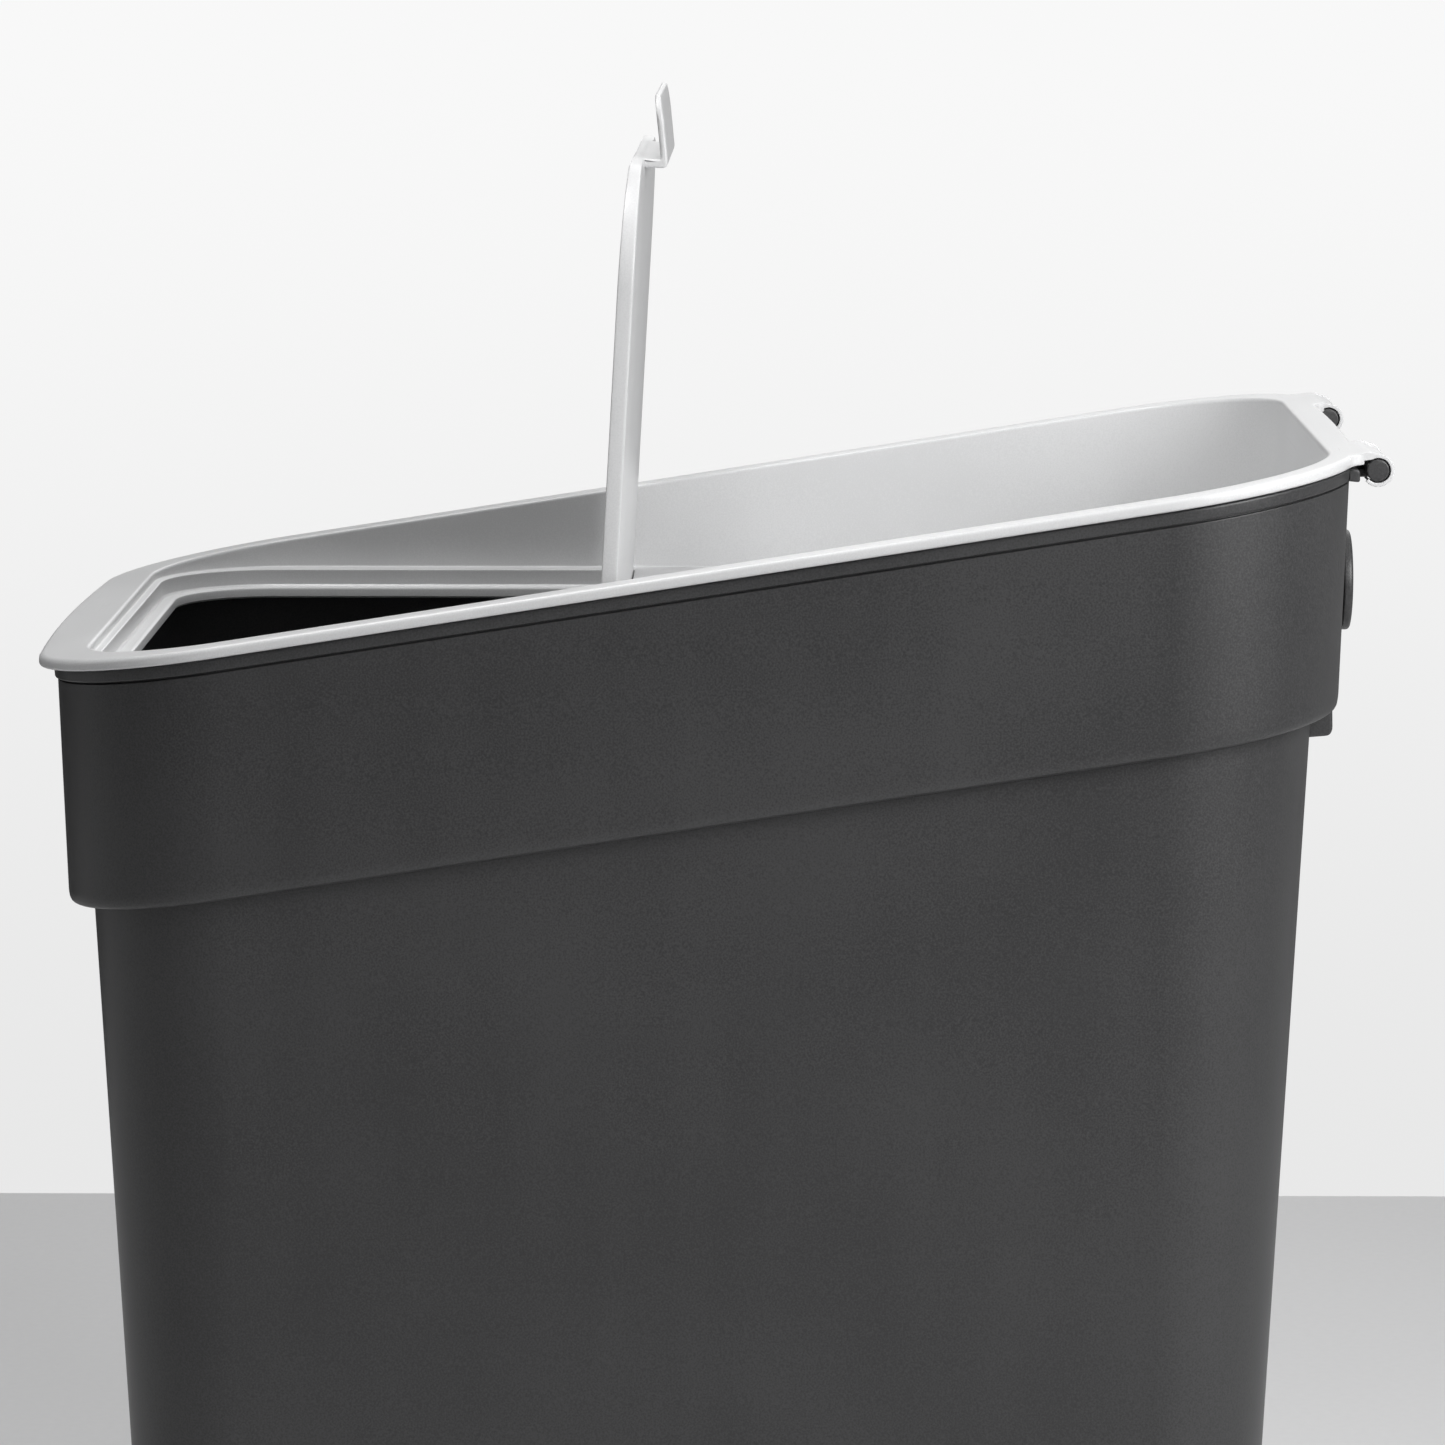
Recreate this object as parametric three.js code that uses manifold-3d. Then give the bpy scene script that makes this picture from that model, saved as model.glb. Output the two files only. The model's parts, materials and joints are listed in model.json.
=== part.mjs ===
// Waste bin with a slanted rim: a tapered bucket, a hinged lid frame holding a level tray, and a
// lift-up flap with a finger tab in the front half of the lid.
// Millimetres, +Z up. The flap side faces -Y and the lid hinge is at +Y. The origin is on the floor
// below the middle of the whole object.

import * as THREE from "three";
import { mergeVertices } from "three/addons/utils/BufferGeometryUtils.js";
import Module from "manifold-3d";

const wasm = await Module();
wasm.setup();

// ---- Driving dimensions ----

const gap = 0.3; // between two pieces that touch
const edge = 0.5; // small chamfer on a moulded edge
const rim = { width: 240, length: 332, corner: 50, height: 344, slopeDeg: 8.83 };
const bow = { front: 2, rear: 1.2 }; // how far the short sides curve outwards
const collar = { inset: 3.6, taper: 0.034, wall: 2.2, depth: 64.6, lip: 5, rearOut: 1.2 };
const bead = { out: 0.8, tall: 3 };
const body = { inset: 8.4, taper: 0.051, wall: 2.2, floor: 3, footWidth: 7, footRound: 5, footLift: 2 };
const lug = { x: 60, width: 14, below: 9, droop: 0.6, inset: 1, thick: 7.6 };
const flange = { thick: 3, lip: 0.9 };
const well = { halfX: 111.2, front: 153.4, rear: 158.2, frontCorner: 38, rearCorner: 44 };
const tray = { depth: 26.2, thick: 2.2, wall: 1.8, taper: 0.03 };
const recess = { halfX: 103, front: 150.4, corner: 30, seatDepth: 30.9, lipDepth: 33.8, seat: 4 };
const cross = { bar: 6, behind: 3.8, play: 0.5 }; // the lid's bar below the flap's hinge
const flap = { play: 0.6, frontPlay: 2.2, halfThick: 2, skin: 1.8, pocketIn: 8, openDeg: 93.3 };
const flapHinge = { forward: 22.3, depth: 28.5 };
const flapPin = { radius: 1, play: 0.3, inside: 3.5 };
const tab = { halfX: 46.6, tip: 164.4, above: 0.5, thick: 1.7, corner: 5, riser: 2.2 };
const knuckle = { y: 170.4, rise: 21.5, fromX: 52, toX: 83 };
const arm = { fromX: 62, toX: 73.5, top: -0.2, bottom: -2.6, play: 1.5 };
const pin = { radius: 2.85, rootTop: 0.4, rootBottom: -3 };
const hook = { inner: 3.15, outer: 4.1, lipDeg: 222, midDeg: 340, rootInset: 6, thick: 1.8, stepDeg: 12 };
const crown = { deg: 80, inset: 1.5, sink: 0.1 }; // where a hook's round back meets its flat top
const stud = { depth: 16, head: 13.25, neck: 11.4, shank: 4, plate: 2.4, groove: 1.4, face: 171.6 };

const arcSteps = 10; // sections in each corner arc
const bowSteps = 6; // sections along each bowed short side

// ---- Derived sizes ----

const slope = Math.tan(THREE.MathUtils.degToRad(rim.slopeDeg));
const halfX = rim.width / 2;
const halfY = rim.length / 2;
const frontY = -(halfY + bow.front);
const rearY = knuckle.y + hook.outer;
const pinZ = rim.height + knuckle.rise;
const flapAxisZ = rim.height - flapHinge.depth;
const trayZ = rim.height - tray.depth;
const shiftY = -(frontY + rearY) / 2; // puts the whole object's middle over the origin

// ---- Materials ----

const darkPlastic = () =>
  new THREE.MeshStandardMaterial({ color: 0x404042, roughness: 0.5, metalness: 0 });
const palePlastic = () =>
  new THREE.MeshStandardMaterial({ color: 0xd0d1d2, roughness: 0.42, metalness: 0 });

// ---- Outlines and heights ----

// A rounded rectangle in plan, as base points with the direction that each moves in when it grows.
// Its short sides bow outwards, and it runs counter-clockwise seen from above.
function roundedOutline({ x, front, rear, frontCorner, rearCorner, frontBow = 0, rearBow = 0 }) {
  const points = [];
  const corners = [
    { sx: 1, y: rear - rearCorner, r: rearCorner, start: 0 },
    { sx: -1, y: rear - rearCorner, r: rearCorner, start: 90 },
    { sx: -1, y: frontCorner - front, r: frontCorner, start: 180 },
    { sx: 1, y: frontCorner - front, r: frontCorner, start: 270 },
  ];
  for (const { sx, y, r, start } of corners) {
    for (let i = 0; i <= arcSteps; i++) {
      const a = THREE.MathUtils.degToRad(start + (90 * i) / arcSteps);
      const dx = Math.cos(a);
      const dy = Math.sin(a);
      points.push({ x: sx * (x - r) + r * dx, y: y + r * dy, dx, dy });
    }
    if (start === 0) points.push(...bowedSide(x - r, rear, rearBow));
    if (start === 180) points.push(...bowedSide(x - r, -front, frontBow));
  }
  return points;
}

// The points between the two ends of a short side at y, from its first corner to its second.
function bowedSide(reach, y, depth) {
  const side = Math.sign(y);
  const points = [];
  for (let i = 1; i < bowSteps; i++) {
    const t = 1 - (2 * i) / bowSteps;
    points.push({ x: side * t * reach, y: y + side * depth * (1 - t * t), dx: 0, dy: side });
  }
  return points;
}

// Heights: one level, or one parallel to the slanted rim at a depth below it.
const level = (z) => ({ z, slope: 0 });
const slanted = (depth) => ({ z: rim.height - depth, slope });

// The ring where an outline, grown by grow plus taper for each mm of height, meets a height plane.
function ring(outline, grow, taper, plane) {
  return outline.map(({ x, y, dx, dy }) => {
    const tilt = plane.slope * dy * taper;
    const z = (plane.z + plane.slope * (y + dy * (grow - taper * rim.height))) / (1 - tilt);
    const out = grow + taper * (z - rim.height);
    return new THREE.Vector3(x + dx * out, y + dy * out, z);
  });
}

// ---- Solids ----

// Skins rings one after another and closes the first and the last with a fan round their middle.
function loft(rings) {
  const count = rings[0].length;
  const middle = (points) =>
    points.reduce((sum, p) => sum.add(p), new THREE.Vector3()).divideScalar(count);
  const vertices = [...rings.flat(), middle(rings[0]), middle(rings.at(-1))];
  const index = [];
  const last = (rings.length - 1) * count;
  for (let i = 0; i < count; i++) {
    const j = (i + 1) % count;
    index.push(rings.length * count, j, i);
    index.push(rings.length * count + 1, last + i, last + j);
    for (let k = 0; k < last; k += count) {
      index.push(k + i, k + j, k + count + j);
      index.push(k + i, k + count + j, k + count + i);
    }
  }
  const geometry = new THREE.BufferGeometry().setFromPoints(vertices);
  geometry.setIndex(index);
  return geometry;
}

function toSolid(geometry) {
  const bare = geometry.clone();
  bare.deleteAttribute("normal");
  bare.deleteAttribute("uv");
  const merged = mergeVertices(bare, 1e-4);
  return new wasm.Manifold(
    new wasm.Mesh({
      numProp: 3,
      vertProperties: merged.attributes.position.array,
      triVerts: new Uint32Array(merged.index.array),
    }),
  );
}

function toGeometry(solid) {
  const { vertProperties, triVerts } = solid.getMesh();
  const geometry = new THREE.BufferGeometry();
  geometry.setAttribute("position", new THREE.BufferAttribute(vertProperties, 3));
  geometry.setIndex(new THREE.BufferAttribute(triVerts, 1));
  const flat = geometry.toNonIndexed();
  flat.computeVertexNormals();
  return flat;
}

// A plan outline raised from one height to another.
function prism(points, fromZ, toZ) {
  const geometry = new THREE.ExtrudeGeometry(new THREE.Shape(points), {
    depth: toZ - fromZ,
    bevelEnabled: false,
  });
  return toSolid(geometry.translate(0, 0, fromZ));
}

// A side profile, drawn as (y, z), run along X.
function bar(points, fromX, toX) {
  const geometry = new THREE.ExtrudeGeometry(new THREE.Shape(points), {
    depth: toX - fromX,
    bevelEnabled: false,
  });
  const alongX = new THREE.Matrix4().makeBasis(
    new THREE.Vector3(0, 1, 0),
    new THREE.Vector3(0, 0, 1),
    new THREE.Vector3(1, 0, 0),
  );
  return toSolid(geometry.applyMatrix4(alongX).translate(fromX, 0, 0));
}

function rodAlongX(radius, fromX, toX, y, z, sides = 24) {
  const rod = new THREE.CylinderGeometry(radius, radius, toX - fromX, sides);
  return toSolid(rod.rotateZ(Math.PI / 2).translate((fromX + toX) / 2, y, z));
}

function block(fromX, toX, fromY, toY, fromZ, toZ) {
  const box = new THREE.BoxGeometry(toX - fromX, toY - fromY, toZ - fromZ);
  return toSolid(box.translate((fromX + toX) / 2, (fromY + toY) / 2, (fromZ + toZ) / 2));
}

// Points on an arc round (y, z) from one angle to another, in degrees from +Y towards +Z.
function arc(y, z, radius, fromDeg, toDeg, steps) {
  return Array.from({ length: steps + 1 }, (_, i) => {
    const a = THREE.MathUtils.degToRad(fromDeg + ((toDeg - fromDeg) * i) / steps);
    return new THREE.Vector2(y + radius * Math.cos(a), z + radius * Math.sin(a));
  });
}

// Two distances from the middle, mirrored to one side and in rising order.
function onSide(side, a, b) {
  return [side * a, side * b].sort((one, other) => one - other);
}

function named(name, geometry, material) {
  const mesh = new THREE.Mesh(geometry, material);
  mesh.name = name;
  return mesh;
}

// ---- Bucket ----

const rimPlan = {
  x: halfX,
  front: halfY,
  rear: halfY,
  frontCorner: rim.corner,
  rearCorner: rim.corner,
  frontBow: bow.front,
  rearBow: bow.rear,
};
const rimOutline = roundedOutline(rimPlan);
const collarOutline = roundedOutline({ ...rimPlan, rear: halfY + collar.rearOut });
const collarRing = (out, plane) => ring(collarOutline, out - collar.inset, collar.taper, plane);
const bodyRing = (out, plane) => ring(rimOutline, out - body.inset, body.taper, plane);
const bucketTop = flange.thick + gap;

// Rings round a quarter-circle corner, from a level bottom at z out to the body's wall.
function cornerRings(out, z, radius, steps) {
  return Array.from({ length: steps + 1 }, (_, i) => {
    const a = ((Math.PI / 2) * i) / steps;
    return bodyRing(out - radius * (1 - Math.sin(a)), level(z + radius * (1 - Math.cos(a))));
  });
}

function bucket() {
  const beadBottom = bucketTop + bead.tall;
  const bottom = collar.depth;
  const pocketTop = bottom - collar.lip;
  const shoulder = pocketTop - body.wall;
  const standIn = -body.footRound - body.footWidth;
  const shell = loft([
    bodyRing(standIn - edge, level(body.footLift)),
    bodyRing(standIn, level(0)),
    ...cornerRings(0, 0, body.footRound, 3),
    bodyRing(0, slanted(pocketTop)),
    collarRing(-collar.wall, slanted(pocketTop)),
    collarRing(-collar.wall, slanted(bottom - edge)),
    collarRing(-collar.wall + edge, slanted(bottom)),
    collarRing(-2 * edge, slanted(bottom)),
    collarRing(0, slanted(bottom - 2 * edge)),
    collarRing(0, slanted(beadBottom + 2 * edge)),
    collarRing(-edge, slanted(beadBottom + edge)),
    collarRing(bead.out, slanted(beadBottom)),
    collarRing(bead.out, slanted(bucketTop + edge)),
    collarRing(bead.out - edge, slanted(bucketTop)),
    collarRing(-collar.wall, slanted(bucketTop)),
    collarRing(-collar.wall, slanted(shoulder)),
    bodyRing(-body.wall, slanted(shoulder)),
    ...cornerRings(-body.wall, body.footLift + body.floor, body.footRound, 2).reverse(),
  ]);
  let solid = toSolid(shell);
  for (const side of [-1, 1]) solid = solid.add(rearLug(side));
  const holeRadius = stud.shank + gap;
  const studHole = new THREE.CylinderGeometry(holeRadius, holeRadius, 6 * collar.wall, 24);
  return solid.subtract(toSolid(studHole.translate(0, halfY, rim.height - stud.depth)));
}

// A hanging lug under the rear edge of the collar, between the collar and the body.
function rearLug(side) {
  const edgeZ = rim.height + slope * halfY - collar.depth;
  const y = halfY - collar.inset - lug.inset;
  const profile = [
    [lug.thick, -lug.below - lug.droop],
    [edge, -lug.below],
    [0, edge - lug.below],
    [0, collar.lip + edge],
    [lug.thick, collar.lip - edge],
  ].map(([inward, up]) => new THREE.Vector2(y - inward, edgeZ + up));
  return bar(profile, side * lug.x - lug.width / 2, side * lug.x + lug.width / 2);
}

// A bar behind the collar, and an arm from it to the pin that the lid's hooks turn on.
function hingeBracket(side) {
  const [near, far] = onSide(side, knuckle.fromX, knuckle.toX);
  const [armNear, armFar] = onSide(side, arm.fromX, arm.toX);
  const rootY = halfY - 2 * collar.inset;
  const barEnd = knuckle.y - hook.outer - gap;
  const root = block(near, far, rootY, barEnd, pinZ + pin.rootBottom, pinZ + pin.rootTop);
  const neck = block(armNear, armFar, rootY, knuckle.y, pinZ + arm.bottom, pinZ + arm.top);
  const clearOfCollar = loft([
    collarRing(bead.out + gap, slanted(collar.depth)),
    collarRing(bead.out + gap, slanted(0)),
  ]);
  const fixed = root.add(neck).subtract(toSolid(clearOfCollar));
  return rodAlongX(pin.radius, near, far, knuckle.y, pinZ).add(fixed);
}

// A round stud on the rear of the collar, with a groove round it and a shank through the wall.
function rearStud() {
  const back = halfY + bow.rear + collar.rearOut - collar.inset + gap;
  const groove = back + stud.plate;
  const lip = groove + stud.groove;
  const profile = [
    [0, back - collar.wall],
    [stud.shank, back - collar.wall],
    [stud.shank, back],
    [stud.head - edge, back],
    [stud.head, back + edge],
    [stud.head, groove - edge],
    [stud.neck, groove],
    [stud.neck, lip],
    [stud.head, lip + edge],
    [stud.head, stud.face - edge],
    [stud.head - edge, stud.face],
    [0, stud.face],
  ].map(([radius, y]) => new THREE.Vector2(radius, y));
  return new THREE.LatheGeometry(profile, 40);
}

// ---- Lid ----

const wellOutline = roundedOutline({
  x: well.halfX,
  front: well.front,
  rear: well.rear,
  frontCorner: well.frontCorner,
  rearCorner: well.rearCorner,
});

function flapPlan(grow, rearEdge) {
  const x = recess.halfX + grow;
  const front = recess.front + grow;
  const r = recess.corner + grow;
  const corner = (side, start) =>
    arc(side * (x - r), r - front, r, start, start + 90, arcSteps);
  return [
    new THREE.Vector2(x, rearEdge),
    new THREE.Vector2(-x, rearEdge),
    ...corner(-1, 180),
    ...corner(1, 270),
  ];
}

function lid() {
  const wall = (out, plane) => ring(wellOutline, out, tray.taper, plane);
  const pan = loft([
    wall(tray.wall, level(trayZ - tray.thick)),
    wall(tray.wall, slanted(flange.thick)),
    ring(rimOutline, -flange.lip, 0, slanted(flange.thick)),
    ring(rimOutline, 0, 0, slanted(flange.thick - flange.lip)),
    ring(rimOutline, 0, 0, slanted(flange.lip)),
    ring(rimOutline, -flange.lip, 0, slanted(0)),
    wall(edge, slanted(0)),
    wall(0, slanted(edge)),
    wall(0, level(trayZ)),
  ]);
  const hingeY = -flapHinge.forward;
  const rearWall = hingeY + flap.halfThick + cross.play;
  const seat = rim.height - recess.seatDepth;
  const lipBottom = rim.height - recess.lipDepth;
  const frame = prism(flapPlan(tray.wall, rearWall + cross.behind), lipBottom, trayZ - edge);
  const opening = flapPlan(-recess.seat, hingeY - cross.bar);
  let solid = toSolid(pan)
    .add(frame)
    .subtract(prism(flapPlan(0, rearWall), seat, rim.height))
    .subtract(prism(opening, lipBottom - edge, rim.height));
  const bearing = flapPin.radius + flapPin.play;
  for (const side of [-1, 1]) {
    const [from, to] = onSide(side, recess.halfX - edge, recess.halfX + tray.wall + edge);
    solid = solid.subtract(rodAlongX(bearing, from, to, hingeY, flapAxisZ)).add(lidHook(side));
  }
  return solid;
}

// Side profile of a hook: a slab flush with the rim's top that runs into a C round the pin.
function hookSection(endDeg) {
  const rootY = halfY - hook.rootInset;
  const rimAt = (y) => rim.height + slope * y;
  const under = rimAt(knuckle.y - hook.inner) - hook.thick;
  const startDeg = 180 - THREE.MathUtils.radToDeg(Math.asin((under - pinZ) / hook.inner));
  const turn = startDeg + 360 - endDeg;
  const steps = Math.round(turn / hook.stepDeg);
  const topY = knuckle.y - crown.inset;
  return [
    new THREE.Vector2(rootY, rimAt(rootY) - hook.thick),
    ...arc(knuckle.y, pinZ, hook.inner, startDeg, startDeg - turn, steps),
    ...arc(knuckle.y, pinZ, hook.outer, startDeg - turn, crown.deg, steps),
    new THREE.Vector2(topY, rimAt(topY) - crown.sink),
    new THREE.Vector2(rootY, rimAt(rootY) - crown.sink),
  ].reverse();
}

// The pair of hooks that snap round one pin, joined over its arm by a half shell.
function lidHook(side) {
  const run = (endDeg, a, b) => bar(hookSection(endDeg), ...onSide(side, a, b));
  const windowFrom = arm.fromX - arm.play;
  const windowTo = arm.toX + arm.play;
  return run(hook.lipDeg, knuckle.fromX, windowFrom)
    .add(run(hook.midDeg, windowFrom, windowTo))
    .add(run(hook.lipDeg, windowTo, knuckle.toX));
}

// ---- Flap, drawn closed with its hinge axis on the X axis ----

// The flap's plan about its axis, grown by grow, set back at its front edge and cut off behind.
function panelPlan(grow, rearIn) {
  const toAxis = flapHinge.forward + flap.frontPlay - flap.play;
  return flapPlan(grow, -flapHinge.forward).map(
    (p) => new THREE.Vector2(p.x, Math.min(p.y + toAxis, -rearIn)),
  );
}

function flapPanel() {
  const half = flap.halfThick;
  const side = recess.halfX - flap.play;
  const panel = prism(panelPlan(-flap.play, 0), -half, half);
  const pocket = prism(panelPlan(-flap.play - flap.skin, flap.pocketIn), -half - edge, half - flap.skin);
  const hole = flapPin.radius + flapPin.play;
  const depth = flapPin.inside + flapPin.play;
  return panel
    .add(rodAlongX(half, -side, side, 0, 0, 32))
    .subtract(pocket)
    .add(fingerTab())
    .subtract(rodAlongX(hole, -side - edge, -side + depth, 0, 0))
    .subtract(rodAlongX(hole, side - depth, side + edge, 0, 0));
}

// The S-shaped tab: a riser at the flap's front edge and a plate that lies along the slanted rim.
function fingerTab() {
  const front = -(recess.front - flap.frontPlay);
  const back = front + tab.riser;
  const rimZ = (y, above) => slope * y + above + flapHinge.depth;
  const half = tab.thick / 2;
  const tipY = -tab.tip + half;
  const tipZ = rimZ(tipY, tab.above + half);
  const lean = rim.slopeDeg;
  const profile = [
    new THREE.Vector2(back, -flap.halfThick + edge),
    new THREE.Vector2(back, rimZ(back, tab.above + tab.thick) - edge),
    new THREE.Vector2(back - edge, rimZ(back, tab.above + tab.thick)),
    ...arc(tipY, tipZ, half, 90 + lean, 270 + lean, 8),
    new THREE.Vector2(front - edge, rimZ(front, tab.above)),
    new THREE.Vector2(front, rimZ(front, tab.above) - edge),
    new THREE.Vector2(front, -flap.halfThick + edge),
  ].map((p) => new THREE.Vector2(p.x + flapHinge.forward, p.y));
  return bar(profile, -tab.halfX, tab.halfX).intersect(prism(tabPlan(), -flap.halfThick, flapHinge.depth));
}

// The tab's plan about the flap's axis, with its two front corners rounded.
function tabPlan() {
  const r = tab.corner;
  const middleY = flapHinge.forward - tab.tip + r;
  return [
    new THREE.Vector2(tab.halfX, 0),
    new THREE.Vector2(-tab.halfX, 0),
    ...arc(r - tab.halfX, middleY, r, 180, 270, 8),
    ...arc(tab.halfX - r, middleY, r, 270, 360, 8),
  ];
}

// A small pin that joins one side of the flap to the lid.
function flapHingePin(side) {
  const inner = recess.halfX - flap.play - flapPin.inside;
  const outer = recess.halfX + tray.wall - gap;
  return rodAlongX(flapPin.radius, ...onSide(side, inner, outer), 0, 0, 16);
}

// ---- Assembly ----

const bin = new THREE.Group();
bin.position.y = shiftY;
bin.add(named("bucket", toGeometry(bucket()), darkPlastic()));
bin.add(named("hinge_bracket_left", toGeometry(hingeBracket(-1)), darkPlastic()));
bin.add(named("hinge_bracket_right", toGeometry(hingeBracket(1)), darkPlastic()));
const studMesh = named("rear_stud", rearStud(), darkPlastic());
studMesh.position.z = rim.height - stud.depth;
bin.add(studMesh);
bin.add(named("lid", toGeometry(lid()), palePlastic()));

const flapGroup = new THREE.Group();
flapGroup.position.set(0, -flapHinge.forward, flapAxisZ);
flapGroup.rotation.x = -THREE.MathUtils.degToRad(flap.openDeg);
flapGroup.add(named("flap", toGeometry(flapPanel()), palePlastic()));
flapGroup.add(named("flap_pin_left", toGeometry(flapHingePin(-1)), darkPlastic()));
flapGroup.add(named("flap_pin_right", toGeometry(flapHingePin(1)), darkPlastic()));
bin.add(flapGroup);

const part = new THREE.Group();
part.add(bin);

export default part;
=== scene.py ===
import json
import math

import bmesh
import bpy
import numpy as np
from mathutils import Matrix, Vector
from mathutils.geometry import tessellate_polygon


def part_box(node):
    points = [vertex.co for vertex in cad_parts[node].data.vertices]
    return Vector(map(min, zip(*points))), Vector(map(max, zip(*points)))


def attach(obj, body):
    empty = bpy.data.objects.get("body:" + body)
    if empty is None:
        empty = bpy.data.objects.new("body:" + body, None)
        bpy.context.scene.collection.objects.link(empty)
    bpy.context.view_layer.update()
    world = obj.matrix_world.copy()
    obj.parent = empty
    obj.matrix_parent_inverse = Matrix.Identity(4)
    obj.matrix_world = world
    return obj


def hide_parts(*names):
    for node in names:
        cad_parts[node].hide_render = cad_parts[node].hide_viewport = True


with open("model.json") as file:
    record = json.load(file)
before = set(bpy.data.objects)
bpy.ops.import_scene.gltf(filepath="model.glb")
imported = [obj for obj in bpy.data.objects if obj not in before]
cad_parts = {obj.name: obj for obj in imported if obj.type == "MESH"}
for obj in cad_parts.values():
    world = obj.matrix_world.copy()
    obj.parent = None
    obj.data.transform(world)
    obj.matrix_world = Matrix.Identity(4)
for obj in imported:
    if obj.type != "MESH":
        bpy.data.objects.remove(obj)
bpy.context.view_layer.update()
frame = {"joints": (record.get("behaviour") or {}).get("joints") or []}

mm = 0.001
arcSteps = 20  # sections in each corner arc
bowSteps = 20  # sections along each bowed short side
sideSteps = 14  # sections along each long side

joints = {j["name"]: j for j in frame["joints"]}
lidAxis = Vector(joints["lid_hinge"]["pos_m"])
flapAxis = Vector(joints["flap_hinge"]["pos_m"])
flapOpen = math.radians(joints["flap_hinge"]["range_deg"][1])
lidLow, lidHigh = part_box("lid")

rim = {
    "halfX": lidHigh.x,
    "halfY": 166 * mm,
    "corner": 50 * mm,
    "frontBow": 2 * mm,
    "rearBow": 1.2 * mm,
    "slope": math.tan(math.radians(8.83)),
    "belowPins": 21.5 * mm,  # rim plane at mid length, below the lid pins
}
midY = lidLow.y + rim["frontBow"] + rim["halfY"]  # row y of the rim's middle
rimZ = lidAxis.z - rim["belowPins"]


# Plan outline: base points and the way that each one moves when the outline grows.
def roundedOutline(halfX, front, rear, frontCorner, rearCorner, frontBow=0.0, rearBow=0.0):
    corners = (
        (1, rear - rearCorner, rearCorner, 0),
        (-1, rear - rearCorner, rearCorner, 90),
        (-1, frontCorner - front, frontCorner, 180),
        (1, frontCorner - front, frontCorner, 270),
    )
    points, ways = [], []
    for index, (side, y, radius, start) in enumerate(corners):
        for i in range(arcSteps + 1):
            a = math.radians(start + 90 * i / arcSteps)
            way = (math.cos(a), math.sin(a))
            points.append((side * (halfX - radius) + radius * way[0], y + radius * way[1]))
            ways.append(way)
        if start in (0, 180):  # a short side, bowed outwards
            edge, out, bow = (rear, 1, rearBow) if start == 0 else (-front, -1, frontBow)
            for i in range(1, bowSteps):
                t = 1 - 2 * i / bowSteps
                points.append((out * t * (halfX - radius), edge + out * bow * (1 - t * t)))
                ways.append((0, out))
        else:  # a long side
            nextY = corners[(index + 1) % 4][1]
            for i in range(1, sideSteps):
                points.append((side * halfX, y + (nextY - y) * i / sideSteps))
                ways.append((side, 0))
    return np.array(points), np.array(ways)


# The ring where an outline, grown by grow plus taper for each metre of height, meets a plane.
def ringAt(outline, grow, taper, z, slope=0.0):
    points, ways = outline
    tilt = slope * ways[:, 1] * taper
    height = (z + slope * (points[:, 1] + ways[:, 1] * (grow - taper * rimZ))) / (1 - tilt)
    out = (grow + taper * (height - rimZ))[:, None]
    flat = points + ways * out
    return np.column_stack([flat, height])


# A polyline of (a, b, radius) corners with each corner turned into a short curve.
def softened(corners, steps=4):
    out = []
    for k, (a, b, radius) in enumerate(corners):
        here = np.array([a, b], float)
        if not radius or k in (0, len(corners) - 1):
            out.append(here)
            continue
        before = np.array(corners[k - 1][:2], float) - here
        after = np.array(corners[k + 1][:2], float) - here
        cutA = min(radius, 0.49 * np.linalg.norm(before))
        cutB = min(radius, 0.49 * np.linalg.norm(after))
        start = here + before / np.linalg.norm(before) * cutA
        end = here + after / np.linalg.norm(after) * cutB
        for i in range(steps + 1):
            t = i / steps
            out.append((1 - t) ** 2 * start + 2 * t * (1 - t) * here + t * t * end)
    return out


class Skin:  # gathers rings and faces, then becomes one object
    def __init__(self):
        self.points, self.faces = [], []

    def ring(self, points):
        first = len(self.points)
        self.points.extend(tuple(float(c) for c in p) for p in points)
        return list(range(first, len(self.points)))

    def bridge(self, a, b):
        count = len(a)
        for i in range(count):
            j = (i + 1) % count
            self.faces.append((a[i], a[j], b[j], b[i]))

    def loft(self, rings):
        made = [self.ring(r) for r in rings]
        for a, b in zip(made, made[1:]):
            self.bridge(a, b)
        return made

    def fan(self, loop):
        middle = self.ring([np.mean([self.points[i] for i in loop], axis=0)])[0]
        for i, a in enumerate(loop):
            self.faces.append((a, loop[(i + 1) % len(loop)], middle))

    def plate(self, *loops):  # a flat face inside the first loop, with the others as holes
        order = [i for loop in loops for i in loop]
        shapes = [[Vector(self.points[i]) for i in loop] for loop in loops]
        for triangle in tessellate_polygon(shapes):
            self.faces.append(tuple(order[i] for i in triangle))

    def toObject(self, name, material, move=(0, 0, 0), sharpDeg=38):
        mesh = bpy.data.meshes.new(name)
        mesh.from_pydata(self.points, [], self.faces)
        work = bmesh.new()
        work.from_mesh(mesh)
        bmesh.ops.remove_doubles(work, verts=work.verts, dist=2e-6)
        bmesh.ops.dissolve_degenerate(work, edges=work.edges, dist=1e-6)
        bmesh.ops.recalc_face_normals(work, faces=work.faces)
        bmesh.ops.translate(work, verts=work.verts, vec=Vector(move))
        for face in work.faces:
            face.smooth = True
        limit = math.radians(sharpDeg)
        for edge in work.edges:
            edge.smooth = len(edge.link_faces) == 2 and edge.calc_face_angle(0) < limit
        work.to_mesh(mesh)
        work.free()
        mesh.materials.append(material)
        made = bpy.data.objects.new(name, mesh)
        bpy.context.scene.collection.objects.link(made)
        weighted = made.modifiers.new("evenNormals", "WEIGHTED_NORMAL")
        weighted.keep_sharp = True
        return made


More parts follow.
